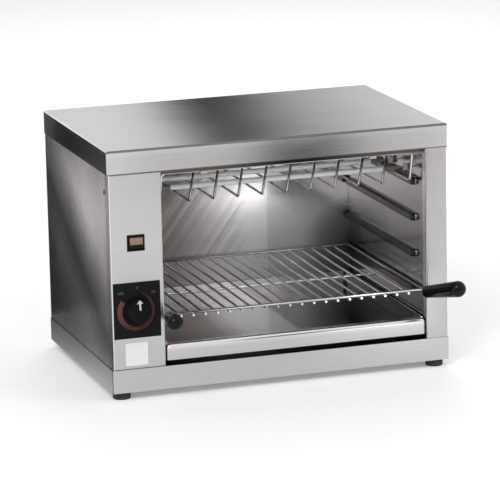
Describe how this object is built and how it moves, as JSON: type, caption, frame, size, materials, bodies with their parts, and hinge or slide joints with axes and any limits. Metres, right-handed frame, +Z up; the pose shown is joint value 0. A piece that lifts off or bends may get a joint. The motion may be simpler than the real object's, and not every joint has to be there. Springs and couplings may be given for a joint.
{
  "type": "salamander grill",
  "caption": "Countertop salamander grill: brushed steel casing, quartz heating tubes under the roof, wire rack on pressed runners, drip tray, switch and heat knob.",
  "frame": {"origin": "on the surface the grill stands on, under the middle of the casing's footprint", "axes": "+X to the right as seen by the cook, +Y towards the back, +Z up"},
  "size_m": [0.6018, 0.535, 0.425],
  "materials": {
    "brushed_stainless": "fine brushed, satin",
    "cavity_stainless": "mill finish, warm by the heat",
    "chromed_wire": "bright plated wire",
    "fastener_steel": "zinc plated",
    "quartz": "milky quartz",
    "heating_alloy": "dull wound wire",
    "white_ceramic": "matt",
    "dark_ceramic": "matt brown",
    "mineral_wool": "fibrous",
    "black_gloss": "glossy moulding",
    "black_matt": "satin moulding",
    "black_rubber": "matt",
    "amber_lens": "clear moulding",
    "white_label": "matt film",
    "wire_sleeve": "silicone sleeve"
  },
  "bodies": {
    "casing": {"base_pan": "brushed_stainless", "blank_label": "white_label", "bush_collars": "fastener_steel", "bushing_nut": "fastener_steel", "cable_gland": "black_matt", "cavity_back_wall": "cavity_stainless", "ceramic_bushes": "dark_ceramic", "ceramic_caps": "white_ceramic", "control_panel": "brushed_stainless", "cover_screws": "fastener_steel", "dial_plate": "black_matt", "earth_stud": "fastener_steel", "earth_wire": "wire_sleeve", "feed_wire": "wire_sleeve", "foot_nuts": "fastener_steel", "foot_screws": "fastener_steel", "front_left_foot": "black_rubber", "front_right_foot": "black_rubber", "gland_nut": "black_matt", "guard_clips": "fastener_steel", "heating_coils": "heating_alloy", "left_bracket": "brushed_stainless", "left_cavity_wall": "cavity_stainless", "left_side_panel": "brushed_stainless", "link_bars": "fastener_steel", "live_wire": "wire_sleeve", "pin_nuts": "fastener_steel", "quartz_tube_1": "quartz", "quartz_tube_2": "quartz", "quartz_tube_3": "quartz", "quartz_tube_4": "quartz", "rear_left_foot": "black_rubber", "rear_panel": "brushed_stainless", "rear_right_foot": "black_rubber", "rear_screws": "fastener_steel", "reflector_roof": "cavity_stainless", "regulator": "black_matt", "return_wire": "wire_sleeve", "right_bracket": "brushed_stainless", "right_cavity_wall": "cavity_stainless", "right_side_panel": "brushed_stainless", "roof_insulation": "mineral_wool", "side_screws": "fastener_steel", "switch_housing": "black_matt", "switch_wire": "wire_sleeve", "terminal_block": "black_matt", "terminal_pins": "fastener_steel", "top_cover": "brushed_stainless", "wire_guard": "chromed_wire"},
    "rack": {"wire_rack": "chromed_wire", "left_grip": "black_gloss", "right_grip": "black_gloss"},
    "tray": {"drip_tray": "brushed_stainless"},
    "knob": {"regulator_knob": "black_gloss", "regulator_shaft": "fastener_steel"},
    "switch_rocker": {"rocker": "black_matt", "rocker_lens": "amber_lens"}
  },
  "joints": [
    {"name": "rack_slide", "type": "slide", "parent": "casing", "child": "rack", "axis": [0, -1, 0], "range_m": [0, 0.3]},
    {"name": "tray_slide", "type": "slide", "parent": "casing", "child": "tray", "axis": [0, -1, 0], "range_m": [0, 0.3]},
    {"name": "knob_turn", "type": "hinge", "parent": "casing", "child": "knob", "pos_m": [-0.2544, -0.1993, 0.1533], "axis": [0, 1, 0], "range_deg": [0, 300]},
    {"name": "rocker_tip", "type": "hinge", "parent": "casing", "child": "switch_rocker", "pos_m": [-0.2534, -0.1947, 0.2676], "axis": [1, 0, 0], "range_deg": [0, 14]}
  ]
}
